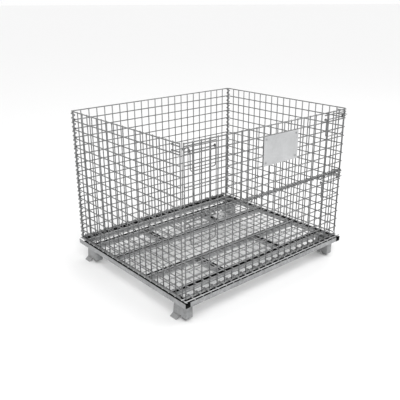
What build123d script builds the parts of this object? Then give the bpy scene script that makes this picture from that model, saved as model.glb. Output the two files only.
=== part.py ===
from build123d import *
import os
from math import cos, radians, sin

# Collapsible wire mesh container: a channel base on four formed feet, a fixed rear panel, two side panels
# that swing on vertical coils, a lower front panel that folds in, and a half drop gate above it.
# Millimetres. X runs along the front, -Y is the front, +Z is up, and Z = 0 is the floor.

os.makedirs("parts", exist_ok=True)

# ---- driving dimensions ----
length = 1206.5
width = 1005.8
wall_height = 762.0

foot_height = 100.2
foot_width = 40.0
foot_depth = 104.0
foot_sheet = 3.0
foot_inset = 31.75
lip_flare = 22.0
lip_height = 16.0
neck_taper = 12.0
toe_width = 34.0
toe_lift = 12.0
notch_width = 20.0
notch_height = 28.0

rail_height = 28.0
rail_width = 36.0
rail_sheet = 2.5
inner_rail_y = 365.0
middle_rail_y = 150.0
spacer_x = 225.0

mesh_wire = 6.0
coil_wire = 4.8
coil_play = 2.0
floor_gap = 2.0
side_inset = 14.0
front_inset = 25.0
rear_inset = 21.0
wire_end_setback = 2.0

long_cells = 23
side_cells = 19
lower_front_cells = 8
gate_cells = 7

hinge_gap = 1.0
corner_gap_x = 11.5
corner_gap_y = 12.0
clip_gap = 2.0
rear_clip_offset = 2.5

hook_wire = 4.5
hook_clearance = 0.75
hook_sweep = 90.0
hook_rest_angle = 288.0
eye_clearance = 0.4
eye_wall = 2.5
eye_height = 10.0

latch_spacing = 25.0
latch_length = 188.0
handle_wire = 5.0
handle_drop = 92.0
handle_cells = 3
handle_clearance = 0.6
handle_corner = 14.0
curl_end = -80.0

plate_width = 255.0
plate_height = 152.0
plate_sheet = 1.5
plate_x = 46.0
plate_drop = 54.0
strap_width = 14.0
strap_sheet = 2.0
strap_x = 111.3
rivet_radius = 2.4
rivet_head_radius = 5.0
rivet_head_height = 1.6
rivet_edge = 16.0

# ---- levels and planes worked out from them ----
wire_r = mesh_wire / 2
hinge_step = mesh_wire + hinge_gap
coil_bore = mesh_wire + hinge_step + coil_play
coil_r = coil_bore / 2 + coil_wire / 2
coil_outer = coil_bore / 2 + coil_wire
coil_seat = coil_bore / 2 - wire_r

rail_top = foot_height + rail_height
floor_lower_z = rail_top + wire_r
floor_upper_z = floor_lower_z + mesh_wire
wall_bottom = floor_upper_z + wire_r + floor_gap
height = wall_bottom + wall_height

rail_face_x = length / 2
side_x = rail_face_x - side_inset
end_x = side_x - corner_gap_x
front_y = front_inset - width / 2
rear_y = width / 2 - rear_inset
swing_y = rear_y - hinge_step
latch_y = front_y + corner_gap_y

low_z = wall_bottom + wire_r
top_z = height - wire_r
cell_z = (top_z - low_z - hinge_step) / (lower_front_cells + gate_cells)
front_top_z = low_z + lower_front_cells * cell_z
gate_low_z = front_top_z + hinge_step
wall_cells = lower_front_cells + gate_cells
wall_pitch = (top_z - low_z) / wall_cells

rear_pitch = 2 * side_x / long_cells
front_pitch = 2 * end_x / long_cells
side_pitch = (swing_y - latch_y) / side_cells

front_axis_y = front_y + mesh_wire
front_skin_y = front_y - mesh_wire
rear_skin_y = rear_y + mesh_wire
rear_clip_y = rear_skin_y + rear_clip_offset
clip_z = floor_upper_z + coil_seat
clip_top = clip_z + coil_outer

gate_hook_z = top_z - cell_z / 2
front_hook_z = front_top_z - cell_z / 2
hook_reach = (corner_gap_x**2 + corner_gap_y**2) ** 0.5
hook_r = hook_reach + wire_r + hook_clearance + hook_wire / 2


def finish(builder, name):
    """Label one finished sub-part and write its STEP file."""
    builder.part.label = name
    export_step(builder.part, f"parts/{name}.step")


def along_x(x, y, z):
    """Plane whose normal runs along +X, with its own y axis pointing up."""
    return Plane(origin=(x, y, z), x_dir=(0, 1, 0), z_dir=(1, 0, 0))


def along_y(x, y, z):
    """Plane whose normal runs along +Y, with its own x axis along X."""
    return Plane(origin=(x, y, z), x_dir=(1, 0, 0), z_dir=(0, 1, 0))


# ---- base channels ----
def channel(name, plane, run):
    """Folded channel, open upward, centred on the plane and as long as the run."""
    with BuildPart() as rail:
        with BuildSketch(plane):
            Rectangle(rail_width, rail_height)
        extrude(amount=run / 2, both=True)
        lips = rail.faces().sort_by(Axis.Z)[-1]
        ends = rail.faces().filter_by(Plane(plane.origin, z_dir=plane.z_dir))
        offset(amount=-rail_sheet, openings=[lips, *ends])
    finish(rail, name)


rail_mid_z = foot_height + rail_height / 2
side_rail_x = rail_face_x - rail_width / 2
edge_rail_y = width / 2 - rail_width / 2
cross_run = 2 * (side_rail_x - rail_width / 2)
spacer_run = inner_rail_y - middle_rail_y - rail_width
spacer_y = (inner_rail_y + middle_rail_y) / 2

for side, x in (("left", -side_rail_x), ("right", side_rail_x)):
    channel(f"side_rail_{side}", along_y(x, 0, rail_mid_z), width)

for place, y in (
    ("front_edge", -edge_rail_y),
    ("front_inner", -inner_rail_y),
    ("front_middle", -middle_rail_y),
    ("rear_middle", middle_rail_y),
    ("rear_inner", inner_rail_y),
    ("rear_edge", edge_rail_y),
):
    channel(f"{place}_rail", along_x(0, y, rail_mid_z), cross_run)

for end, y in (("front", -spacer_y), ("rear", spacer_y)):
    for side, x in (("left", -spacer_x), ("right", spacer_x)):
        channel(f"{end}_spacer_{side}", along_y(x, y, rail_mid_z), spacer_run)


# ---- feet ----
def foot(name, side, front):
    """Formed sheet foot: two cheeks, a closed front and top, a notched sole and a flared lip.

    side is -1 on the left and 1 on the right; front is the Y of its front face.
    """
    outer_x = rail_face_x - foot_inset
    middle_x = outer_x - foot_width / 2
    lip_start = toe_width + notch_width
    lip_sheet = foot_sheet * (lip_flare**2 + lip_height**2) ** 0.5 / lip_height
    with BuildPart() as part:
        with BuildSketch(along_x(side * middle_x, front, 0)) as sole:
            with BuildLine():
                Polyline(
                    (0, foot_height),
                    (0, toe_lift),
                    (toe_width, toe_lift),
                    (toe_width + notch_width / 2, notch_height),
                    (lip_start, lip_height),
                    (foot_depth, lip_height),
                    (foot_depth - neck_taper, foot_height),
                    close=True,
                )
            make_face()
            fillet(sole.vertices().group_by(Axis.Y)[0], toe_width / 3)
        extrude(amount=foot_width / 2, both=True)
        with Locations((side * middle_x, front + foot_depth / 2 + foot_sheet, 0)):
            Box(
                foot_width - 2 * foot_sheet,
                foot_depth,
                foot_height - foot_sheet,
                align=(Align.CENTER, Align.CENTER, Align.MIN),
                mode=Mode.SUBTRACT,
            )
        with BuildSketch(along_y(0, front + lip_start, 0)):
            with BuildLine():
                Polyline(
                    (side * outer_x, -lip_height),
                    (side * (outer_x - lip_sheet), -lip_height),
                    (side * (outer_x - lip_sheet + lip_flare), 0),
                    (side * (outer_x + lip_flare), 0),
                    close=True,
                )
            make_face()
        extrude(amount=foot_depth - lip_start)
    finish(part, name)


for end, y in (("front", -width / 2 + foot_inset), ("rear", width / 2 - foot_inset - foot_depth)):
    for side_name, side in (("left", -1), ("right", 1)):
        foot(f"{end}_foot_{side_name}", side, y)

# ---- floor mesh ----
floor_pitch = (rear_clip_y - front_axis_y) / side_cells

with BuildPart() as floor_long_wires:
    with BuildSketch(along_x(0, (rear_clip_y + front_axis_y) / 2, floor_upper_z)):
        with GridLocations(floor_pitch, 1, side_cells + 1, 1):
            Circle(wire_r)
    with BuildSketch(along_x(0, wire_r + wire_end_setback - width / 2, floor_upper_z)):
        Circle(wire_r)
    extrude(amount=rail_face_x - wire_end_setback, both=True)
finish(floor_long_wires, "floor_long_wires")

with BuildPart() as floor_short_wires:
    with BuildSketch(along_y(0, 0, floor_lower_z)):
        with GridLocations(rear_pitch, 1, long_cells + 1, 1):
            Circle(wire_r)
    extrude(amount=width / 2 - wire_end_setback, both=True)
finish(floor_short_wires, "floor_short_wires")


# ---- mesh panels that run along X ----
def uprights(name, y, pitch, bottom, top):
    """Row of vertical wires along X."""
    with BuildPart() as wires:
        with BuildSketch(Plane((0, y, bottom))):
            with GridLocations(pitch, 1, long_cells + 1, 1):
                Circle(wire_r)
        extrude(amount=top - bottom)
    finish(wires, name)


def cross_wires(name, y, half_run, lowest, highest, cells):
    """Stack of horizontal wires along X."""
    with BuildPart() as wires:
        with BuildSketch(along_x(0, y, (lowest + highest) / 2)):
            with GridLocations(1, (highest - lowest) / cells, 1, cells + 1):
                Circle(wire_r)
        extrude(amount=half_run, both=True)
    finish(wires, name)


panel_end = end_x + wire_r

uprights("rear_uprights", rear_y, rear_pitch, wall_bottom, height)
cross_wires("rear_cross_wires", rear_skin_y, side_x + wire_r, low_z, top_z, wall_cells)
uprights("front_uprights", front_y, front_pitch, wall_bottom, front_top_z + wire_r)
cross_wires("front_cross_wires", front_skin_y, panel_end, low_z + cell_z, front_top_z, lower_front_cells - 1)
uprights("gate_uprights", front_y, front_pitch, gate_low_z - wire_r, height)
cross_wires("gate_cross_wires", front_skin_y, panel_end, gate_low_z, top_z, gate_cells)

with BuildPart() as front_hinge_wire:
    with BuildSketch(along_x(0, front_axis_y, low_z)):
        Circle(wire_r)
    extrude(amount=panel_end, both=True)
finish(front_hinge_wire, "front_hinge_wire")


# ---- side panels ----
def side_panel(side_name, side):
    """Swinging side panel: its end wire stops above the floor clips, and so does its lowest cross wire."""
    mid_y = (swing_y + latch_y) / 2
    skin_x = side * (side_x + mesh_wire)
    clip_back = front_axis_y + coil_outer + clip_gap
    with BuildPart() as posts:
        with BuildSketch(Plane((side * side_x, mid_y + side_pitch / 2, wall_bottom))):
            with GridLocations(1, side_pitch, 1, side_cells):
                Circle(wire_r)
        extrude(amount=wall_height)
        with BuildSketch(Plane((side * side_x, latch_y, clip_top + clip_gap))):
            Circle(wire_r)
        extrude(amount=height - clip_top - clip_gap)
    finish(posts, f"side_uprights_{side_name}")
    with BuildPart() as runs:
        with BuildSketch(along_y(skin_x, latch_y - wire_r, (low_z + top_z + wall_pitch) / 2)):
            with GridLocations(1, wall_pitch, 1, wall_cells):
                Circle(wire_r)
        extrude(amount=swing_y - latch_y + mesh_wire)
        with BuildSketch(along_y(skin_x, clip_back, low_z)):
            Circle(wire_r)
        extrude(amount=swing_y + wire_r - clip_back)
    finish(runs, f"side_cross_wires_{side_name}")
    with BuildPart() as keepers:
        for z in (gate_hook_z, front_hook_z):
            with BuildSketch(along_y(skin_x, latch_y - wire_r, z)):
                with GridLocations(1, latch_spacing, 1, 2):
                    Circle(wire_r)
        extrude(amount=side_pitch + mesh_wire)
    finish(keepers, f"latch_keepers_{side_name}")


for side_name, side in (("left", -1), ("right", 1)):
    side_panel(side_name, side)


# ---- coils and hinge clips ----
def rings(name, centres, rotation):
    """Set of closed turns of coil wire."""
    with BuildPart() as turns:
        with Locations(*centres):
            Torus(coil_r, coil_wire / 2, rotation=rotation)
    finish(turns, name)


flat = (0, 0, 0)
upright = (0, 90, 0)
quarters = (0.25, 0.75)

for side_name, side in (("left", -1), ("right", 1)):
    turn_z = [low_z + (cell + part) * wall_pitch for cell in range(wall_cells) for part in quarters]
    rings(f"rear_coil_{side_name}", [(side * side_x, rear_y - coil_seat, z) for z in turn_z], flat)

turn_x = [-end_x + (cell + part) * front_pitch for cell in range(long_cells) for part in quarters]
rings("gate_coil", [(x, front_skin_y, front_top_z + coil_seat) for x in turn_x], upright)

clip_x = [-end_x + (cell + 0.5) * front_pitch for cell in range(long_cells)]
rings("front_floor_clips", [(x, front_axis_y, clip_z) for x in clip_x], upright)

rear_clip_x = [-side_x + (cell + 0.5) * rear_pitch for cell in range(long_cells)]
rings("rear_floor_clips", [(x, rear_clip_y, clip_z) for x in rear_clip_x], upright)


# ---- corner hooks ----
def hook(name, side, z):
    """Round hook that turns on the end upright; a stem joins its eye to the root of the arc."""
    post = (side * end_x, front_y, z)
    tip = hook_rest_angle if side < 0 else 180 - hook_rest_angle
    root = tip - side * hook_sweep
    tip_dir = (cos(radians(tip)), sin(radians(tip)), 0)
    root_dir = (cos(radians(root)), sin(radians(root)), 0)
    eye_r = wire_r + eye_clearance + eye_wall
    with BuildPart() as bent:
        with BuildSketch(Plane(origin=post, x_dir=tip_dir, z_dir=(tip_dir[1], -tip_dir[0], 0))):
            with Locations((hook_r, 0)):
                Circle(hook_wire / 2)
        revolve(axis=Axis(post, (0, 0, -side)), revolution_arc=hook_sweep)
        with BuildSketch(Plane(origin=post, z_dir=root_dir)):
            Circle(hook_wire / 2)
        extrude(amount=hook_r)
        with Locations((post[0] + hook_r * root_dir[0], post[1] + hook_r * root_dir[1], z)):
            Sphere(hook_wire / 2)
        with Locations(post):
            Cylinder(eye_r, eye_height)
            Cylinder(wire_r + eye_clearance, eye_height, mode=Mode.SUBTRACT)
    finish(bent, name)


for side_name, side in (("left", -1), ("right", 1)):
    hook(f"gate_hook_{side_name}", side, gate_hook_z)
    hook(f"front_hook_{side_name}", side, front_hook_z)


# ---- latch bars and lift handles ----
def latch_bars(name, side, level):
    """Pair of bars welded across the uprights, from the panel's end inward."""
    with BuildPart() as bars:
        with BuildSketch(along_x(side * panel_end, front_skin_y, level)):
            with GridLocations(1, latch_spacing, 1, 2):
                Circle(wire_r)
        extrude(amount=-side * latch_length)
    finish(bars, name)


def lift_handle(name, side, level):
    """Wide drop handle whose two eyes turn on the lower latch bar."""
    pivot_z = level - latch_spacing / 2
    eye_r = wire_r + handle_clearance + handle_wire / 2
    outer = side * (end_x - front_pitch / 2)
    inner = side * (end_x - (handle_cells + 0.5) * front_pitch)
    low = pivot_z - handle_drop

    def curl(x, angle):
        """Point on the eye's centreline around the bar."""
        return (x, front_skin_y + eye_r * cos(radians(angle)), pivot_z + eye_r * sin(radians(angle)))

    with BuildPart() as handle:
        with BuildLine() as bend:
            ThreePointArc(curl(outer, curl_end), curl(outer, curl_end / 2 + 90), curl(outer, 180))
            FilletPolyline(
                curl(outer, 180),
                (outer, front_skin_y - eye_r, low),
                (inner, front_skin_y - eye_r, low),
                curl(inner, 180),
                radius=handle_corner,
            )
            ThreePointArc(curl(inner, 180), curl(inner, curl_end / 2 + 90), curl(inner, curl_end))
        with BuildSketch(Plane(origin=bend.line @ 0, z_dir=bend.line % 0)):
            Circle(handle_wire / 2)
        sweep()
    finish(handle, name)


for level_name, level in (("gate", gate_hook_z), ("front", front_hook_z)):
    for side_name, side in (("left", -1), ("right", 1)):
        latch_bars(f"{level_name}_latch_bars_{side_name}", side, level)
        lift_handle(f"{level_name}_handle_{side_name}", side, level)

# ---- blank plate on the gate ----
plate_back_y = front_skin_y - wire_r
plate_face_y = plate_back_y - plate_sheet
plate_mid_z = height - plate_drop - plate_height / 2
strap_y = front_y + wire_r
rivet_spacing_z = plate_height - 2 * rivet_edge

with BuildPart() as blank_plate:
    with BuildSketch(along_y(plate_x, plate_back_y, plate_mid_z)) as blank:
        RectangleRounded(plate_width, plate_height, plate_sheet * 2)
        with GridLocations(2 * strap_x, rivet_spacing_z, 2, 2):
            Circle(rivet_radius, mode=Mode.SUBTRACT)
    extrude(amount=-plate_sheet)
finish(blank_plate, "blank_plate")

with BuildPart() as plate_straps:
    with BuildSketch(along_y(plate_x, strap_y, plate_mid_z)):
        with GridLocations(2 * strap_x, 1, 2, 1):
            Rectangle(strap_width, plate_height)
        with GridLocations(2 * strap_x, rivet_spacing_z, 2, 2):
            Circle(rivet_radius, mode=Mode.SUBTRACT)
    extrude(amount=strap_sheet)
finish(plate_straps, "plate_straps")

with BuildPart() as plate_rivets:
    with BuildSketch(along_y(plate_x, plate_face_y, plate_mid_z)):
        with GridLocations(2 * strap_x, rivet_spacing_z, 2, 2):
            Circle(rivet_radius)
    extrude(amount=strap_y + strap_sheet - plate_face_y)
    with BuildSketch(along_y(plate_x, plate_face_y, plate_mid_z)):
        with GridLocations(2 * strap_x, rivet_spacing_z, 2, 2):
            Circle(rivet_head_radius)
    extrude(amount=-rivet_head_height)
    with BuildSketch(along_y(plate_x, strap_y + strap_sheet, plate_mid_z)):
        with GridLocations(2 * strap_x, rivet_spacing_z, 2, 2):
            Circle(rivet_head_radius)
    extrude(amount=rivet_head_height)
finish(plate_rivets, "plate_rivets")
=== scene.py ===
import math

import bmesh
import bpy
from mathutils import Matrix, Vector


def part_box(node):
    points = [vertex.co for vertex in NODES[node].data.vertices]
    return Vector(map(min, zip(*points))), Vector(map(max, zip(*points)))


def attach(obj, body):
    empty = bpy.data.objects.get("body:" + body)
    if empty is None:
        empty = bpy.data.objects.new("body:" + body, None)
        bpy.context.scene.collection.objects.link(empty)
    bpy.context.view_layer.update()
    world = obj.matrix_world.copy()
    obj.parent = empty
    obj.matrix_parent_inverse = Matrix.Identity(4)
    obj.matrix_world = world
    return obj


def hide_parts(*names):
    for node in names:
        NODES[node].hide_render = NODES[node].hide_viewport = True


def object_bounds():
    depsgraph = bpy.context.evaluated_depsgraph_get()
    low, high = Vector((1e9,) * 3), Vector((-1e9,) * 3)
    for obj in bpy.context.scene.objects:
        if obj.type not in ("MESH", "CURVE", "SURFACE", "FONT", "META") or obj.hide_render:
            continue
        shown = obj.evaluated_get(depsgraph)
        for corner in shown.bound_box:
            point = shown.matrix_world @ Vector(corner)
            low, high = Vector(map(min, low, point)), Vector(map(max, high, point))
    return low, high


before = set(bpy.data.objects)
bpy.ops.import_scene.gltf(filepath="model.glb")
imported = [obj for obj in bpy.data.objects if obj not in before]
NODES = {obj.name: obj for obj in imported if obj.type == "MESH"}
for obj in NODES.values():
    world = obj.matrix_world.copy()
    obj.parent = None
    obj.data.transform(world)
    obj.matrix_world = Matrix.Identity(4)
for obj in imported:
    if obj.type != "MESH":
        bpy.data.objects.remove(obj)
cad_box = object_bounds()

# Collapsible wire mesh container: bright zinc wire panels on a galvanised channel base.
# Metres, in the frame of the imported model: X along the front, -Y the front, Z up from the floor.

MM = 0.001
X, Y, Z = 0, 1, 2

# ---- sizes shared by the wire work ----
WIRE_SIDES = 16
BENT_SIDES = 12
WIRE_R = 3.0 * MM
NEAR_WIRE = 1.5 * WIRE_R
COIL_WIRE_R = 2.4 * MM
COIL_R = 9.9 * MM
CROPPED_TIP = 0.72
CROPPED_DEPTH = 0.3
LONG_WIRES = 24
SIDE_WIRES = 20
WALL_WIRES = 16
FRONT_WIRES = 8
GATE_WIRES = 8
TURNS_PER_CELL = 2
TURN_STEPS = 20
REAR_COIL_TILT = 3.0 * MM
GATE_COIL_TILT = 3.9 * MM
FREE_SIDE_REAR = math.radians(173.0)
FREE_SIDE_GATE = math.radians(251.0)
CLIP_OPENING = math.radians(24.0)
CLIP_BOTTOM = math.radians(270.0)
CLIP_STEPS = 24
KEEPER_HALF_GAP = 12.5 * MM


# ---- small vector helpers ----
def corners(node):
    """Lowest and highest corner of a CAD node."""
    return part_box(node)


def spread(low, high, count, radius=WIRE_R):
    """Centres of a row of round wires that fills the range from edge to edge."""
    first = low + radius
    pitch = (high - low - 2 * radius) / (count - 1)
    return [first + pitch * index for index in range(count)]


def run_ends(node, row_axis, place, run_axis):
    """Where the wire that stands at that place of its row starts and ends."""
    near = [v.co for v in NODES[node].data.vertices if abs(v.co[row_axis] - place) < NEAR_WIRE]
    ends = [spot[run_axis] for spot in near]
    return min(ends), max(ends)


# ---- mesh building ----
class Stock:
    """Collects the faces of one piece."""

    def __init__(self):
        self.verts = []
        self.faces = []
        self.flat = []
        self.coats = []

    def ring(self, centre, across, along, radius, sides):
        """Adds one ring of vertices and gives back the number of its first one."""
        first = len(self.verts)
        for step in range(sides):
            turn = 2 * math.pi * step / sides
            self.verts.append(centre + radius * (math.cos(turn) * across + math.sin(turn) * along))
        return first

    def skin(self, rings, sides):
        """Joins each ring to the next."""
        for near, far in zip(rings, rings[1:]):
            for step in range(sides):
                after = (step + 1) % sides
                self.face((near + step, near + after, far + after, far + step), flat=False)

    def cap(self, first, sides, turned):
        """Closes one ring with a flat face."""
        loop = [first + step for step in range(sides)]
        if turned:
            loop.reverse()
        self.face(loop)

    def face(self, loop, flat=True, coat=0):
        """Adds one face; coat is the number of its finish."""
        self.faces.append(tuple(loop))
        self.flat.append(flat)
        self.coats.append(coat)

    def build(self, name, body, finishes, replaced=()):
        """Makes the object, gives it its finishes and hangs it on its CAD body."""
        mesh = bpy.data.meshes.new(name)
        mesh.from_pydata([tuple(v) for v in self.verts], [], self.faces)
        mesh.polygons.foreach_set("use_smooth", [not flat for flat in self.flat])
        for finish in finishes:
            mesh.materials.append(finish)
        mesh.polygons.foreach_set("material_index", self.coats)
        mesh.validate()
        mesh.update()
        piece = bpy.data.objects.new(name, mesh)
        bpy.context.scene.collection.objects.link(piece)
        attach(piece, body)
        if replaced:
            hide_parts(*replaced)
        return piece


def side_axes(direction):
    """Two unit vectors square to a direction."""
    guide = Vector((0, 0, 1)) if abs(direction.z) < 0.9 else Vector((1, 0, 0))
    across = direction.cross(guide).normalized()
    return across, direction.cross(across).normalized()


def straight_wire(stock, start, end, radius=WIRE_R):
    """Cropped wire: a round bar whose two tips are slightly broken by the shear."""
    direction = (end - start).normalized()
    across, along = side_axes(direction)
    inset = direction * radius * CROPPED_DEPTH
    tip = radius * CROPPED_TIP
    rings = [
        stock.ring(start, across, along, tip, WIRE_SIDES),
        stock.ring(start + inset, across, along, radius, WIRE_SIDES),
        stock.ring(end - inset, across, along, radius, WIRE_SIDES),
        stock.ring(end, across, along, tip, WIRE_SIDES),
    ]
    stock.skin(rings, WIRE_SIDES)
    stock.cap(rings[0], WIRE_SIDES, True)
    stock.cap(rings[-1], WIRE_SIDES, False)


def bent_wire(stock, path, radius, sides=BENT_SIDES):
    """Round wire along a bent path, with cropped tips."""
    rings = []
    last = len(path) - 1
    direction = (path[1] - path[0]).normalized()
    across, along = side_axes(direction)
    for index, point in enumerate(path):
        before = path[max(index - 1, 0)]
        after = path[min(index + 1, last)]
        direction = (after - before).normalized()
        across = (across - direction * across.dot(direction)).normalized()
        along = direction.cross(across)
        size = radius * CROPPED_TIP if index in (0, last) else radius
        rings.append(stock.ring(point, across, along, size, sides))
    stock.skin(rings, sides)
    stock.cap(rings[0], sides, True)
    stock.cap(rings[-1], sides, False)


# ---- shader helpers ----
def new_group(name, inputs, outputs):
    """Node group with named sockets: (name, kind, default) in, (name, kind) out."""
    group = bpy.data.node_groups.new(name, "ShaderNodeTree")
    for label, kind, default in inputs:
        socket = group.interface.new_socket(label, in_out="INPUT", socket_type=kind)
        socket.default_value = default
    for label, kind in outputs:
        group.interface.new_socket(label, in_out="OUTPUT", socket_type=kind)
    entry = group.nodes.new("NodeGroupInput")
    leave = group.nodes.new("NodeGroupOutput")
    return group, entry, leave


def wire_up(tree, source, target):
    """Links one socket to another."""
    tree.links.new(source, target)


def math_node(tree, operation, first, second):
    """Math node fed by sockets or plain numbers."""
    node = tree.nodes.new("ShaderNodeMath")
    node.operation = operation
    for index, value in enumerate((first, second)):
        if isinstance(value, (int, float)):
            node.inputs[index].default_value = value
        else:
            tree.links.new(value, node.inputs[index])
    return node.outputs[0]


def scaled_place(tree, scale):
    """Object coordinates stretched by a scale."""
    place = tree.nodes.new("ShaderNodeTexCoord")
    mapping = tree.nodes.new("ShaderNodeMapping")
    mapping.inputs["Scale"].default_value = scale
    tree.links.new(place.outputs["Object"], mapping.inputs["Vector"])
    return mapping.outputs[0]


def noise(tree, place, scale, detail=4.0, roughness=0.55):
    """Noise value over the surface."""
    node = tree.nodes.new("ShaderNodeTexNoise")
    if isinstance(scale, (int, float)):
        node.inputs["Scale"].default_value = scale
    else:
        tree.links.new(scale, node.inputs["Scale"])
    node.inputs["Detail"].default_value = detail
    node.inputs["Roughness"].default_value = roughness
    tree.links.new(place, node.inputs["Vector"])
    return node.outputs["Fac"]


def remap(tree, value, low, high, out_low=0.0, out_high=1.0):
    """Clamped linear change of range."""
    node = tree.nodes.new("ShaderNodeMapRange")
    node.inputs["From Min"].default_value = low
    node.inputs["From Max"].default_value = high
    node.inputs["To Min"].default_value = out_low
    node.inputs["To Max"].default_value = out_high
    tree.links.new(value, node.inputs["Value"])
    return node.outputs[0]


def mix_colour(tree, share, first, second, blend="MIX"):
    """Colour mix; colours are sockets or plain tuples."""
    node = tree.nodes.new("ShaderNodeMix")
    node.data_type = "RGBA"
    node.blend_type = blend
    for socket, value in ((node.inputs[0], share), (node.inputs[6], first), (node.inputs[7], second)):
        if isinstance(value, (int, float, tuple)):
            socket.default_value = value
        else:
            tree.links.new(value, socket)
    return node.outputs[2]


# ---- shared finishes, as node groups ----
# Scales are noise cells per metre.
GRAIN_SCALE = 900.0
DUST_PATCH_SCALE = 38.0
DUST_ROUGHENS = 0.35
SCRATCH_SCALE = 6.0
RUBBED_SPOT_SCALE = 26.0
SHADE_EDGE_SCALE = 120.0
FLAKE_ROUGH = 0.18
FLAKE_RELIEF = 0.5


def zinc_cloud_group():
    """Soft light and dark clouds that a zinc coat shows, with fine grain in its roughness."""
    group, entry, leave = new_group(
        "zinc_cloud",
        [
            ("Dark", "NodeSocketColor", (0.3, 0.3, 0.31, 1)),
            ("Light", "NodeSocketColor", (0.6, 0.6, 0.61, 1)),
            ("Cloud Scale", "NodeSocketFloat", 30.0),
            ("Rough Low", "NodeSocketFloat", 0.3),
            ("Rough High", "NodeSocketFloat", 0.5),
        ],
        [("Color", "NodeSocketColor"), ("Roughness", "NodeSocketFloat"), ("Height", "NodeSocketFloat")],
    )
    place = scaled_place(group, (1, 1, 1))
    cloud = noise(group, place, entry.outputs["Cloud Scale"], 5.0, 0.6)
    grain = noise(group, place, GRAIN_SCALE, 3.0, 0.7)
    share = remap(group, cloud, 0.3, 0.7)
    clouded = mix_colour(group, share, entry.outputs["Dark"], entry.outputs["Light"])
    wire_up(group, clouded, leave.inputs["Color"])
    span = math_node(group, "SUBTRACT", entry.outputs["Rough High"], entry.outputs["Rough Low"])
    mixed = math_node(group, "MULTIPLY", math_node(group, "ADD", share, grain), 0.5)
    rough = math_node(group, "ADD", math_node(group, "MULTIPLY", span, mixed), entry.outputs["Rough Low"])
    wire_up(group, rough, leave.inputs["Roughness"])
    wire_up(group, grain, leave.inputs["Height"])
    return group


def spangle_group():
    """Crystal flakes of a hot dip zinc coat."""
    group, entry, leave = new_group(
        "zinc_spangle",
        [
            ("Color", "NodeSocketColor", (0.5, 0.5, 0.5, 1)),
            ("Flake Scale", "NodeSocketFloat", 90.0),
            ("Contrast", "NodeSocketFloat", 0.25),
        ],
        [("Color", "NodeSocketColor"), ("Roughness Shift", "NodeSocketFloat"), ("Height", "NodeSocketFloat")],
    )
    place = scaled_place(group, (1, 1, 1))
    flakes = group.nodes.new("ShaderNodeTexVoronoi")
    flakes.feature = "F1"
    wire_up(group, place, flakes.inputs["Vector"])
    wire_up(group, entry.outputs["Flake Scale"], flakes.inputs["Scale"])
    split = group.nodes.new("ShaderNodeSeparateColor")
    wire_up(group, flakes.outputs["Color"], split.inputs[0])
    tone = split.outputs[0]
    centred = math_node(group, "SUBTRACT", tone, 0.5)
    gain = math_node(group, "ADD", math_node(group, "MULTIPLY", centred, entry.outputs["Contrast"]), 1.0)
    grey = group.nodes.new("ShaderNodeCombineColor")
    for socket in grey.inputs:
        wire_up(group, gain, socket)
    tinted = mix_colour(group, 1.0, entry.outputs["Color"], grey.outputs[0], "MULTIPLY")
    wire_up(group, tinted, leave.inputs["Color"])
    wire_up(group, math_node(group, "MULTIPLY", centred, FLAKE_ROUGH), leave.inputs["Roughness Shift"])
    wire_up(group, math_node(group, "MULTIPLY", tone, FLAKE_RELIEF), leave.inputs["Height"])
    return group


def settled_dust_group():
    """Warehouse dust: thin on faces that look up, broken by noise."""
    group, entry, leave = new_group(
        "settled_dust",
        [
            ("Color", "NodeSocketColor", (0.5, 0.5, 0.5, 1)),
            ("Roughness", "NodeSocketFloat", 0.4),
            ("Dust", "NodeSocketColor", (0.42, 0.40, 0.37, 1)),
            ("Amount", "NodeSocketFloat", 0.3),
        ],
        [("Color", "NodeSocketColor"), ("Roughness", "NodeSocketFloat"), ("Mask", "NodeSocketFloat")],
    )
    facing = group.nodes.new("ShaderNodeNewGeometry")
    split = group.nodes.new("ShaderNodeSeparateXYZ")
    wire_up(group, facing.outputs["Normal"], split.inputs[0])
    upward = remap(group, split.outputs["Z"], 0.35, 0.95)
    patchy = noise(group, scaled_place(group, (1, 1, 1)), DUST_PATCH_SCALE, 6.0, 0.65)
    patches = remap(group, patchy, 0.38, 0.66)
    mask = math_node(group, "MULTIPLY", upward, patches)
    mask = math_node(group, "MULTIPLY", mask, entry.outputs["Amount"])
    dusted = mix_colour(group, mask, entry.outputs["Color"], entry.outputs["Dust"])
    wire_up(group, dusted, leave.inputs["Color"])
    lift = math_node(group, "MULTIPLY", mask, DUST_ROUGHENS)
    wire_up(group, math_node(group, "ADD", entry.outputs["Roughness"], lift), leave.inputs["Roughness"])
    wire_up(group, mask, leave.inputs["Mask"])
    return group


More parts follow.
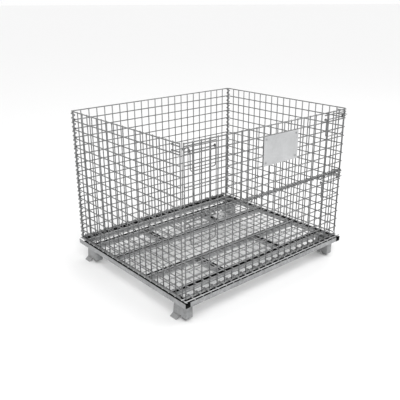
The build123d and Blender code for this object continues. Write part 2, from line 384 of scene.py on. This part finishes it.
def handling_scuff_group():
    """Fine scratches and rubbed spots left by handling."""
    group, entry, leave = new_group(
        "handling_scuff",
        [
            ("Color", "NodeSocketColor", (0.5, 0.5, 0.5, 1)),
            ("Bare", "NodeSocketColor", (0.72, 0.72, 0.73, 1)),
            ("Amount", "NodeSocketFloat", 0.4),
            ("Length Scale", "NodeSocketVector", (14.0, 14.0, 220.0)),
        ],
        [("Color", "NodeSocketColor"), ("Height", "NodeSocketFloat")],
    )
    place = group.nodes.new("ShaderNodeTexCoord")
    stretch = group.nodes.new("ShaderNodeVectorMath")
    stretch.operation = "MULTIPLY"
    wire_up(group, place.outputs["Object"], stretch.inputs[0])
    wire_up(group, entry.outputs["Length Scale"], stretch.inputs[1])
    lines = remap(group, noise(group, stretch.outputs[0], SCRATCH_SCALE, 2.0, 0.5), 0.62, 0.7)
    rubbed = noise(group, scaled_place(group, (1, 1, 1)), RUBBED_SPOT_SCALE, 3.0, 0.5)
    spots = remap(group, rubbed, 0.5, 0.7)
    mask = math_node(group, "MULTIPLY", lines, spots)
    mask = math_node(group, "MULTIPLY", mask, entry.outputs["Amount"])
    scratched = mix_colour(group, mask, entry.outputs["Color"], entry.outputs["Bare"])
    wire_up(group, scratched, leave.inputs["Color"])
    wire_up(group, mask, leave.inputs["Height"])
    return group


def floor_shade_group():
    """Painted shade on the lowest edges, with a ragged upper limit; lips that stand further out get none."""
    group, entry, leave = new_group(
        "floor_painted_shade",
        [
            ("Color", "NodeSocketColor", (0.5, 0.5, 0.5, 1)),
            ("Painted Shade", "NodeSocketColor", (0.035, 0.033, 0.03, 1)),
            ("Top", "NodeSocketFloat", 0.02),
            ("Fade", "NodeSocketFloat", 0.004),
            ("Wiped Beyond", "NodeSocketFloat", 1.0),
        ],
        [("Color", "NodeSocketColor")],
    )
    place = group.nodes.new("ShaderNodeTexCoord")
    split = group.nodes.new("ShaderNodeSeparateXYZ")
    wire_up(group, place.outputs["Object"], split.inputs[0])
    ragged = noise(group, scaled_place(group, (1, 1, 1)), SHADE_EDGE_SCALE, 3.0, 0.6)
    climb = math_node(group, "MULTIPLY", ragged, entry.outputs["Fade"])
    edge = math_node(group, "ADD", entry.outputs["Top"], climb)
    below = math_node(group, "SUBTRACT", edge, split.outputs["Z"])
    mask = math_node(group, "DIVIDE", below, entry.outputs["Fade"])
    mask = remap(group, mask, 0.0, 1.0)
    outward = math_node(group, "ABSOLUTE", split.outputs["X"], 0.0)
    within = math_node(group, "LESS_THAN", outward, entry.outputs["Wiped Beyond"])
    mask = math_node(group, "MULTIPLY", mask, within)
    shaded = mix_colour(group, mask, entry.outputs["Color"], entry.outputs["Painted Shade"])
    wire_up(group, shaded, leave.inputs["Color"])
    return group


ZINC_CLOUD = zinc_cloud_group()
SPANGLE = spangle_group()
DUST = settled_dust_group()
SCUFF = handling_scuff_group()
# Painted shade near the floor, used for the feet.
FLOOR_SHADE = floor_shade_group()
FOOT_FACE = 572.2 * MM
RELIEF_DEPTH = 0.3 * MM


def placed(tree, group, **values):
    """Puts a node group in a material; plain values set its sockets and sockets are linked."""
    node = tree.nodes.new("ShaderNodeGroup")
    node.node_tree = group
    for label, value in values.items():
        socket = node.inputs[label.replace("_", " ")]
        if isinstance(value, (int, float, tuple)):
            socket.default_value = value
        else:
            tree.links.new(value, socket)
    return node.outputs


def grey(value, warm=0.0):
    """Plain grey, slightly warm or cool."""
    return (value * (1 + warm), value, value * (1 - warm), 1.0)


def zinc_material(
    name, dark, light, metallic, rough, cloud, scuff, dust, flakes=None, bump=0.06, warm=-0.012, floor_shade=0.0
):
    """Zinc coated steel, built from the shared groups.

    dark, light: greys of its clouds. rough: lowest and highest roughness. flakes: scale and contrast of its
    crystals. floor_shade: height above the floor up to which painted shade darkens it.
    """
    material = bpy.data.materials.new(name)
    material.use_nodes = True
    tree = material.node_tree
    shader = tree.nodes["Principled BSDF"]
    coat = placed(
        tree,
        ZINC_CLOUD,
        Dark=grey(dark, warm),
        Light=grey(light, warm),
        Cloud_Scale=cloud,
        Rough_Low=rough[0],
        Rough_High=rough[1],
    )
    colour = coat["Color"]
    roughness = coat["Roughness"]
    height = coat["Height"]
    if flakes:
        crystals = placed(tree, SPANGLE, Color=colour, Flake_Scale=flakes[0], Contrast=flakes[1])
        colour = crystals["Color"]
        roughness = math_node(tree, "ADD", roughness, crystals["Roughness Shift"])
        height = math_node(tree, "ADD", height, crystals["Height"])
    rubbed = placed(tree, SCUFF, Color=colour, Bare=grey(min(light * 1.25, 0.9), warm), Amount=scuff)
    dusty = placed(tree, DUST, Color=rubbed["Color"], Roughness=roughness, Amount=dust)
    colour = dusty["Color"]
    # Painted shade: the lowest edges are darkened up to the given height above the floor.
    if floor_shade:
        colour = placed(tree, FLOOR_SHADE, Color=colour, Top=floor_shade, Wiped_Beyond=FOOT_FACE)["Color"]
    wire_up(tree, colour, shader.inputs["Base Color"])
    wire_up(tree, dusty["Roughness"], shader.inputs["Roughness"])
    relief = tree.nodes.new("ShaderNodeBump")
    relief.inputs["Strength"].default_value = bump
    relief.inputs["Distance"].default_value = RELIEF_DEPTH
    wire_up(tree, math_node(tree, "SUBTRACT", height, rubbed["Height"]), relief.inputs["Height"])
    wire_up(tree, relief.outputs[0], shader.inputs["Normal"])
    shader.inputs["Metallic"].default_value = metallic
    return material


MESH_ZINC = zinc_material(
    "mesh_zinc", dark=0.14, light=0.26, metallic=0.75, rough=(0.3, 0.46), cloud=34.0, scuff=0.5, dust=0.16
)
FLOOR_ZINC = zinc_material(
    "floor_zinc", dark=0.32, light=0.52, metallic=0.75, rough=(0.32, 0.5), cloud=30.0, scuff=0.8, dust=0.25
)
COIL_ZINC = zinc_material(
    "coil_zinc", dark=0.17, light=0.3, metallic=0.8, rough=(0.24, 0.4), cloud=60.0, scuff=0.6, dust=0.1
)
LATCH_ZINC = zinc_material(
    "latch_zinc", dark=0.12, light=0.24, metallic=0.8, rough=(0.24, 0.42), cloud=80.0, scuff=0.8, dust=0.12
)
WELD_ZINC = zinc_material(
    "weld_zinc",
    dark=0.07,
    light=0.16,
    metallic=0.65,
    rough=(0.45, 0.7),
    cloud=240.0,
    scuff=0.1,
    dust=0.16,
    bump=0.3,
    warm=0.02,
)
RAIL_GALV = zinc_material(
    "rail_galvanised",
    dark=0.25,
    light=0.38,
    metallic=0.6,
    rough=(0.34, 0.52),
    cloud=12.0,
    scuff=0.6,
    dust=0.3,
    flakes=(95.0, 0.35),
    bump=0.1,
)
# Inside faces of the channels: a near-black, weakly reflecting finish, painted shade where the channel's
# inside lies in shadow.
RAIL_INSIDE_SHADE = zinc_material(
    "rail_inside_painted_shade",
    dark=0.004,
    light=0.014,
    metallic=0.0,
    rough=(0.6, 0.8),
    cloud=20.0,
    scuff=0.1,
    dust=0.03,
    flakes=(95.0, 0.2),
)
RAIL_INSIDE_SHADE.node_tree.nodes["Principled BSDF"].inputs["Specular IOR Level"].default_value = 0.12
# Feet: galvanised, with painted shade on their lowest 16 mm near the floor.
FOOT_GALV = zinc_material(
    "foot_galvanised",
    dark=0.22,
    light=0.34,
    metallic=0.5,
    rough=(0.36, 0.52),
    cloud=14.0,
    scuff=0.7,
    dust=0.25,
    flakes=(110.0, 0.3),
    bump=0.1,
    floor_shade=0.016,
)
PLATE_SATIN = zinc_material(
    "plate_satin",
    dark=0.42,
    light=0.5,
    metallic=0.4,
    rough=(0.42, 0.55),
    cloud=9.0,
    scuff=0.5,
    dust=0.08,
    flakes=(160.0, 0.1),
    bump=0.05,
)
RIVET_STEEL = zinc_material(
    "rivet_steel", dark=0.25, light=0.4, metallic=0.85, rough=(0.25, 0.4), cloud=120.0, scuff=0.7, dust=0.1
)


# ---- mesh panels ----
def redraw_row(node, count, row_axis, run_axis, body, finish):
    """Redraws one CAD row of equal wires as cropped round wire."""
    low, high = corners(node)
    stock = Stock()
    depth_axis = 3 - row_axis - run_axis
    depth = (low[depth_axis] + high[depth_axis]) / 2
    for value in spread(low[row_axis], high[row_axis], count):
        start = Vector((0, 0, 0))
        start[row_axis] = value
        start[depth_axis] = depth
        end = start.copy()
        start[run_axis] = low[run_axis]
        end[run_axis] = high[run_axis]
        straight_wire(stock, start, end)
    return stock.build(f"{node}_drawn", body, [finish], [node])


WELD_SIDES = 8
WELD_RINGS = ((-1.8, 1.3), (-0.9, 2.55), (0.0, 2.95), (0.9, 2.55), (1.8, 1.3))


def weld_spot(stock, centre, axis):
    """Metal squeezed out where two wires are resistance welded."""
    normal = Vector((0, 0, 0))
    normal[axis] = 1
    across, along = side_axes(normal)
    rings = [
        stock.ring(centre + normal * offset * MM, across, along, radius * MM, WELD_SIDES)
        for offset, radius in WELD_RINGS
    ]
    stock.skin(rings, WELD_SIDES)
    stock.cap(rings[0], WELD_SIDES, True)
    stock.cap(rings[-1], WELD_SIDES, False)


def weld_grid(name, body, firsts, seconds, depth, axis):
    """Weld spots at every crossing of two rows of wires."""
    stock = Stock()
    for a in firsts:
        for b in seconds:
            spot = [a, b]
            spot.insert(axis, depth)
            weld_spot(stock, Vector(spot), axis)
    return stock.build(name, body, [WELD_ZINC])


def long_panel(prefix, body, cross_count):
    """Panel along X: uprights, cross wires and the welds between. Gives back the places of both rows."""
    up_low, up_high = corners(f"{prefix}_uprights")
    run_low, run_high = corners(f"{prefix}_cross_wires")
    redraw_row(f"{prefix}_uprights", LONG_WIRES, X, Z, body, MESH_ZINC)
    redraw_row(f"{prefix}_cross_wires", cross_count, Z, X, body, MESH_ZINC)
    xs = spread(up_low.x, up_high.x, LONG_WIRES)
    zs = spread(run_low.z, run_high.z, cross_count)
    depth = ((up_low.y + up_high.y) / 2 + (run_low.y + run_high.y) / 2) / 2
    weld_grid(f"{prefix}_welds", body, xs, zs, depth, Y)
    return xs, zs


rear_xs, wall_zs = long_panel("rear", "base", WALL_WIRES)
front_xs = long_panel("front", "front_panel", FRONT_WIRES)[0]
gate_xs = long_panel("gate", "drop_gate", GATE_WIRES)[0]


def front_hinge_row():
    """Lowest wire of the front panel, which the floor clips turn on, and its welds."""
    low, high = corners("front_hinge_wire")
    stock = Stock()
    y = (low.y + high.y) / 2
    z = (low.z + high.z) / 2
    straight_wire(stock, Vector((low.x, y, z)), Vector((high.x, y, z)))
    stock.build("front_hinge_wire_drawn", "front_panel", [MESH_ZINC], ["front_hinge_wire"])
    weld_grid("front_hinge_welds", "front_panel", front_xs, [z], y - WIRE_R, Y)


front_hinge_row()


def side_wall(side):
    """Swinging side panel: nineteen full uprights and a shorter one at the latch end."""
    body = f"{side}_side"
    posts = f"side_uprights_{side}"
    runs = f"side_cross_wires_{side}"
    up_low, up_high = corners(posts)
    run_low, run_high = corners(runs)
    x = (up_low.x + up_high.x) / 2
    skin = (run_low.x + run_high.x) / 2
    ys = spread(up_low.y, up_high.y, SIDE_WIRES)
    zs = spread(run_low.z, run_high.z, WALL_WIRES)
    stock = Stock()
    for y in ys:
        bottom, top = run_ends(posts, Y, y, Z)
        straight_wire(stock, Vector((x, y, bottom)), Vector((x, y, top)))
    stock.build(f"{posts}_drawn", body, [MESH_ZINC], [posts])
    stock = Stock()
    for z in zs:
        front, back = run_ends(runs, Z, z, Y)
        straight_wire(stock, Vector((skin, front, z)), Vector((skin, back, z)))
    stock.build(f"{runs}_drawn", body, [MESH_ZINC], [runs])
    stock = Stock()
    for y in ys:
        for z in zs:
            if y > ys[0] or z > zs[0]:
                weld_spot(stock, Vector(((x + skin) / 2, y, z)), X)
    stock.build(f"side_welds_{side}", body, [WELD_ZINC])
    return ys


for wall_side in ("left", "right"):
    side_ys = side_wall(wall_side)


def mid_level(node):
    """Height of the middle of a CAD node."""
    low, high = corners(node)
    return (low.z + high.z) / 2


KEEPER_LEVELS = (mid_level("gate_hook_left"), mid_level("front_hook_left"))


def keeper_bars(side):
    """Four short bars on the outside of a side panel at its latch end, with their welds."""
    node = f"latch_keepers_{side}"
    low, high = corners(node)
    x = (low.x + high.x) / 2
    post_low, post_high = corners(f"side_uprights_{side}")
    post_x = (post_low.x + post_high.x) / 2
    stock = Stock()
    welds = Stock()
    for z in KEEPER_LEVELS:
        for level in (z - KEEPER_HALF_GAP, z + KEEPER_HALF_GAP):
            straight_wire(stock, Vector((x, low.y, level)), Vector((x, high.y, level)))
            for y in side_ys[:2]:
                weld_spot(welds, Vector(((x + post_x) / 2, y, level)), X)
    stock.build(f"{node}_drawn", f"{side}_side", [LATCH_ZINC], [node])
    welds.build(f"latch_keeper_welds_{side}", f"{side}_side", [WELD_ZINC])


for wall_side in ("left", "right"):
    keeper_bars(wall_side)


# ---- floor mesh ----
def floor_mesh():
    """Long wires over short wires, with a front tie wire, welded at every crossing."""
    long_low, long_high = corners("floor_long_wires")
    short_low, short_high = corners("floor_short_wires")
    redraw_row("floor_short_wires", LONG_WIRES, X, Y, "base", FLOOR_ZINC)
    z = (long_low.z + long_high.z) / 2
    ys = [long_low.y + WIRE_R]
    hinge_low, hinge_high = corners("front_hinge_wire")
    first = (hinge_low.y + hinge_high.y) / 2
    pitch = (long_high.y - WIRE_R - first) / (SIDE_WIRES - 1)
    ys += [first + pitch * index for index in range(SIDE_WIRES)]
    stock = Stock()
    for y in ys:
        straight_wire(stock, Vector((long_low.x, y, z)), Vector((long_high.x, y, z)))
    stock.build("floor_long_wires_drawn", "base", [FLOOR_ZINC], ["floor_long_wires"])
    xs = spread(short_low.x, short_high.x, LONG_WIRES)
    weld_grid("floor_welds", "base", xs, ys, z - WIRE_R, Z)


floor_mesh()


# ---- coils ----
def coil_path(centre_line, square_axes, free_side, low, high, turns, tilt):
    """Helix of coil wire. Its turns lean a little, so that it passes each welded wire on its free side.

    centre_line gives the axis point at a place between low and high; square_axes are two directions square to
    the axis, and free_side is the angle between them where the helix starts.
    """
    across, along = square_axes
    steps = int(turns * TURN_STEPS)
    lead = (high - low) / turns
    path = []
    for step in range(steps + 1):
        travel = 2 * math.pi * step / TURN_STEPS
        angle = free_side + travel
        reach = low + lead * travel / (2 * math.pi) + tilt * math.sin(travel)
        reach = min(max(reach, low), high)
        path.append(centre_line(reach) + COIL_R * (math.cos(angle) * across + math.sin(angle) * along))
    return path


def rear_coil(side, sign):
    """Vertical coil that joins a side panel to the rear panel."""
    node = f"rear_coil_{side}"
    low, high = corners(node)
    x = (low.x + high.x) / 2
    y = (low.y + high.y) / 2
    stock = Stock()
    path = coil_path(
        lambda z: Vector((x, y, z)),
        (Vector((sign, 0, 0)), Vector((0, 1, 0))),
        FREE_SIDE_REAR,
        wall_zs[0],
        wall_zs[-1],
        TURNS_PER_CELL * (WALL_WIRES - 1),
        REAR_COIL_TILT,
    )
    bent_wire(stock, path, COIL_WIRE_R)
    stock.build(f"{node}_wound", "base", [COIL_ZINC], [node])


for wall_side, wall_sign in (("left", -1), ("right", 1)):
    rear_coil(wall_side, wall_sign)


def gate_hinge_coil():
    """Long coil between the lower front panel and the gate."""
    low, high = corners("gate_coil")
    y = (low.y + high.y) / 2
    z = (low.z + high.z) / 2
    stock = Stock()
    path = coil_path(
        lambda x: Vector((x, y, z)),
        (Vector((0, 1, 0)), Vector((0, 0, 1))),
        FREE_SIDE_GATE,
        front_xs[0],
        front_xs[-1],
        TURNS_PER_CELL * (LONG_WIRES - 1),
        GATE_COIL_TILT,
    )
    bent_wire(stock, path, COIL_WIRE_R)
    stock.build("gate_coil_wound", "front_panel", [COIL_ZINC], ["gate_coil"])


gate_hinge_coil()


def clip_rings(node, xs):
    """Wire rings closed round the floor mesh and a panel's lowest wire, each with a cut at the bottom."""
    low, high = corners(node)
    y = (low.y + high.y) / 2
    z = (low.z + high.z) / 2
    stock = Stock()
    start = CLIP_BOTTOM + CLIP_OPENING / 2
    sweep = 2 * math.pi - CLIP_OPENING
    for x in xs:
        path = [
            Vector((x, y + COIL_R * math.cos(angle), z + COIL_R * math.sin(angle)))
            for angle in (start + sweep * step / CLIP_STEPS for step in range(CLIP_STEPS + 1))
        ]
        bent_wire(stock, path, COIL_WIRE_R)
    stock.build(f"{node}_bent", "base", [COIL_ZINC], [node])


def between(values):
    """Middles of neighbouring values."""
    return [(a + b) / 2 for a, b in zip(values, values[1:])]


clip_rings("front_floor_clips", between(front_xs))
clip_rings("rear_floor_clips", between(rear_xs))


# ---- sheet and bar pieces kept from CAD ----
def soften(node, width, segments=2, angle=30.0):
    """Breaks the sharp edges of a CAD node with a small round."""
    piece = NODES[node]
    weld = piece.modifiers.new("joined_edges", "WELD")
    weld.merge_threshold = 0.01 * MM
    bevel = piece.modifiers.new("broken_edges", "BEVEL")
    bevel.width = width
    bevel.segments = segments
    bevel.limit_method = "ANGLE"
    bevel.angle_limit = math.radians(angle)
    bevel.harden_normals = True
    for face in piece.data.polygons:
        face.use_smooth = True


def finish_node(node, material):
    """Gives a CAD node its finish."""
    piece = NODES[node]
    piece.data.materials.clear()
    piece.data.materials.append(material)


RAIL_SHEET = 2.5 * MM
RAIL_BEND = 4.0 * MM
BEND_STEPS = 5
LIP_BREAK = 0.4 * MM


def channel_outline(half, height):
    """Outside and inside of an open channel, point by point, from one lip round to the other."""

    def turn(radius, centre_u, centre_v, start):
        """Points round one bend."""
        angles = [math.radians(start + 90 * step / BEND_STEPS) for step in range(BEND_STEPS + 1)]
        return [(centre_u + radius * math.cos(a), centre_v + radius * math.sin(a)) for a in angles]

    inner = RAIL_BEND - RAIL_SHEET
    near = half - RAIL_BEND
    outside = [(-half + LIP_BREAK, height), (-half, height - LIP_BREAK)]
    outside += turn(RAIL_BEND, -near, RAIL_BEND, 180)
    outside += turn(RAIL_BEND, near, RAIL_BEND, 270)
    outside += [(half, height - LIP_BREAK), (half - LIP_BREAK, height)]
    lip = half - RAIL_SHEET
    inside = [(-lip - LIP_BREAK, height), (-lip, height - LIP_BREAK)]
    inside += turn(inner, -near, RAIL_BEND, 180)
    inside += turn(inner, near, RAIL_BEND, 270)
    inside += [(lip, height - LIP_BREAK), (lip + LIP_BREAK, height)]
    return outside, inside


def folded_channel(node):
    """Redraws one CAD channel with its bends, in one piece."""
    low, high = corners(node)
    run = X if high.x - low.x > high.y - low.y else Y
    across = Y if run == X else X
    half = (high[across] - low[across]) / 2
    middle = (high[across] + low[across]) / 2
    outside, inside = channel_outline(half, high.z - low.z)
    stock = Stock()

    def place(end, point):
        """Vertex of the outline at one end of the run."""
        spot = Vector((0, 0, low.z + point[1]))
        spot[run] = end
        spot[across] = middle + point[0]
        stock.verts.append(spot)

    count = len(outside)
    for end in (low[run], high[run]):
        for point in outside + inside:
            place(end, point)
    far = 2 * count
    # The inside faces take the second finish, which paints the shade inside the channel.
    for row, coat in ((0, 0), (count, 1)):
        for step in range(count - 1):
            a = row + step
            bend = 2 <= step <= count - 4
            stock.face((a, a + 1, far + a + 1, far + a), flat=not bend, coat=coat)
    for row in (0, count - 1):
        stock.face((row, count + row, far + count + row, far + row))
    for step in range(count - 1):
        for end in (0, far):
            a = end + step
            stock.face((a, a + 1, count + a + 1, count + a))
    piece = stock.build(f"{node}_folded", "base", [RAIL_GALV, RAIL_INSIDE_SHADE], [node])
    level_normals(piece)
    return low, high, run


BEAD_R = 2.1 * MM
BEAD_STEP = 0.9 * MM
BEAD_RIPPLE = 0.16
BEAD_WAVE = 3.4
BEAD_START = 0.45
BEAD_RISE = 4
FOOT_WIDTH = 40.0 * MM
FOOT_TAPER = 12.0 * MM
FOOT_BEAD_SHORT = 24.0 * MM


def weld_bead(stock, start, end):
    """Arc weld along a joint: a rippled bead half sunk in the corner."""
    direction = (end - start).normalized()
    across, along = side_axes(direction)
    count = max(3, int((end - start).length / BEAD_STEP))
    rings = []
    for step in range(count + 1):
        share = step / count
        swell = 1 + BEAD_RIPPLE * math.sin(step * 2 * math.pi / BEAD_WAVE)
        fade = min(1.0, BEAD_START + BEAD_RISE * min(share, 1 - share))
        rings.append(stock.ring(start.lerp(end, share), across, along, BEAD_R * swell * fade, WELD_SIDES))
    stock.skin(rings, WELD_SIDES)
    stock.cap(rings[0], WELD_SIDES, True)
    stock.cap(rings[-1], WELD_SIDES, False)


def level_normals(piece):
    """Turns every face of a closed piece to look outward."""
    work = bmesh.new()
    work.from_mesh(piece.data)
    bmesh.ops.recalc_face_normals(work, faces=work.faces)
    work.to_mesh(piece.data)
    work.free()


def base_frame():
    """Folded channels, and the beads that join each to its neighbour."""
    beads = Stock()
    for node in sorted(n for n in NODES if "_rail" in n or "_spacer_" in n):
        low, high, run = folded_channel(node)
        if "side_rail" in node:
            continue
        across = Y if run == X else X
        for end in (low[run], high[run]):
            for edge in (low[across], high[across]):
                if abs(edge) > abs(cad_box[1][across]) - BEAD_R:
                    continue
                foot_of_bead = Vector((0, 0, low.z + RAIL_BEND))
                foot_of_bead[run] = end
                foot_of_bead[across] = edge
                top_of_bead = foot_of_bead.copy()
                top_of_bead.z = high.z - RAIL_BEND
                weld_bead(beads, foot_of_bead, top_of_bead)
    for node in sorted(n for n in NODES if "_foot_" in n):
        low, high = corners(node)
        inner = high.x if high.x < 0 else low.x
        outer = inner + math.copysign(FOOT_WIDTH, inner)
        free_y = low.y if low.y < 0 else high.y - FOOT_TAPER
        side_start = Vector((outer, low.y + BEAD_R, high.z))
        side_end = Vector((outer, high.y - FOOT_BEAD_SHORT, high.z))
        weld_bead(beads, side_start, side_end)
        weld_bead(beads, Vector((inner, free_y, high.z)), Vector((outer, free_y, high.z)))
    beads.build("frame_weld_beads", "base", [WELD_ZINC])


base_frame()

# How far the edges of each kind of piece are broken.
FOOT_BREAK = 0.8 * MM
PLATE_BREAK = 0.4 * MM
RIVET_BREAK = 0.7 * MM
BAR_BREAK = 0.3 * MM

for foot in [n for n in NODES if "_foot_" in n]:
    finish_node(foot, FOOT_GALV)
    soften(foot, FOOT_BREAK, 3)

for sheet in ("blank_plate", "plate_straps"):
    finish_node(sheet, PLATE_SATIN)
    soften(sheet, PLATE_BREAK)
finish_node("plate_rivets", RIVET_STEEL)
soften("plate_rivets", RIVET_BREAK, 3)

for part in [n for n in NODES if "_hook_" in n or "_handle_" in n]:
    finish_node(part, LATCH_ZINC)
    soften(part, BAR_BREAK)


def latch_pair(level, side, body):
    """Two bars across the uprights, with welds where they cross."""
    node = f"{level}_latch_bars_{side}"
    low, high = corners(node)
    y = (low.y + high.y) / 2
    stock = Stock()
    welds = Stock()
    for z in (low.z + WIRE_R, high.z - WIRE_R):
        straight_wire(stock, Vector((low.x, y, z)), Vector((high.x, y, z)))
        for x in gate_xs:
            if low.x < x < high.x:
                weld_spot(welds, Vector((x, y + WIRE_R, z)), Y)
    stock.build(f"{node}_drawn", body, [LATCH_ZINC], [node])
    welds.build(f"{level}_latch_welds_{side}", body, [WELD_ZINC])


for wall_side in ("left", "right"):
    latch_pair("gate", wall_side, "drop_gate")
    latch_pair("front", wall_side, "front_panel")


# ---- floor, light and camera ----
STAGE_REACH = 150.0
STAGE_GREY = 0.93


def stage_floor():
    """Pale seamless floor."""
    mesh = bpy.data.meshes.new("studio_floor")
    reach = STAGE_REACH
    square = [(-reach, -reach, 0), (reach, -reach, 0), (reach, reach, 0), (-reach, reach, 0)]
    mesh.from_pydata(square, [], [(0, 1, 2, 3)])
    material = bpy.data.materials.new("studio_floor")
    material.use_nodes = True
    shader = material.node_tree.nodes["Principled BSDF"]
    shader.inputs["Base Color"].default_value = grey(STAGE_GREY)
    shader.inputs["Roughness"].default_value = 0.9
    mesh.materials.append(material)
    floor = bpy.data.objects.new("studio_floor", mesh)
    bpy.context.scene.collection.objects.link(floor)


def studio_light(name, place, aim, size, power):
    """Large soft area light."""
    data = bpy.data.lights.new(name, "AREA")
    data.shape = "SQUARE"
    data.size = size
    data.energy = power
    lamp = bpy.data.objects.new(name, data)
    lamp.location = place
    lamp.rotation_euler = (Vector(aim) - Vector(place)).to_track_quat("-Z", "Y").to_euler()
    bpy.context.scene.collection.objects.link(lamp)


def studio_world():
    """Even pale surroundings."""
    world = bpy.data.worlds.new("studio_world")
    world.use_nodes = True
    background = world.node_tree.nodes["Background"]
    background.inputs["Color"].default_value = (1, 1, 1, 1)
    background.inputs["Strength"].default_value = 1.0
    bpy.context.scene.world = world


LIGHT_AIM = (0, 0, 0.4)
LIGHT_SIZE = 3.0
KEY_PLACE = (-2.5, -3.5, 4.5)
KEY_POWER = 120
FILL_PLACE = (3.5, -2.5, 3.0)
FILL_POWER = 50

CAMERA_PLACE = Vector((-2.0164, -2.2647, 1.4929))
CAMERA_HEADING = 0.7080
CAMERA_DIP = 0.3552
CAMERA_ROLL = -0.0043
CAMERA_LENS = 49.48


def product_camera():
    """Camera at the front left, looking slightly down."""
    heading = CAMERA_HEADING
    dip = CAMERA_DIP
    forward = Vector((math.sin(heading) * math.cos(dip), math.cos(heading) * math.cos(dip), -math.sin(dip)))
    level = Vector((math.cos(heading), -math.sin(heading), 0))
    upward = level.cross(forward)
    right = math.cos(CAMERA_ROLL) * level + math.sin(CAMERA_ROLL) * upward
    up = math.cos(CAMERA_ROLL) * upward - math.sin(CAMERA_ROLL) * level
    data = bpy.data.cameras.new("product_camera")
    data.lens = CAMERA_LENS
    data.sensor_width = 36.0
    data.clip_start = 0.05
    data.clip_end = 100.0
    camera = bpy.data.objects.new("product_camera", data)
    turn = Matrix((right, up, -forward)).transposed()
    camera.matrix_world = Matrix.Translation(CAMERA_PLACE) @ turn.to_4x4()
    bpy.context.scene.collection.objects.link(camera)
    bpy.context.scene.camera = camera


bpy.context.scene.view_settings.view_transform = "Standard"
stage_floor()
studio_world()
studio_light("key_light", KEY_PLACE, LIGHT_AIM, LIGHT_SIZE, KEY_POWER)
studio_light("fill_light", FILL_PLACE, LIGHT_AIM, LIGHT_SIZE, FILL_POWER)
product_camera()
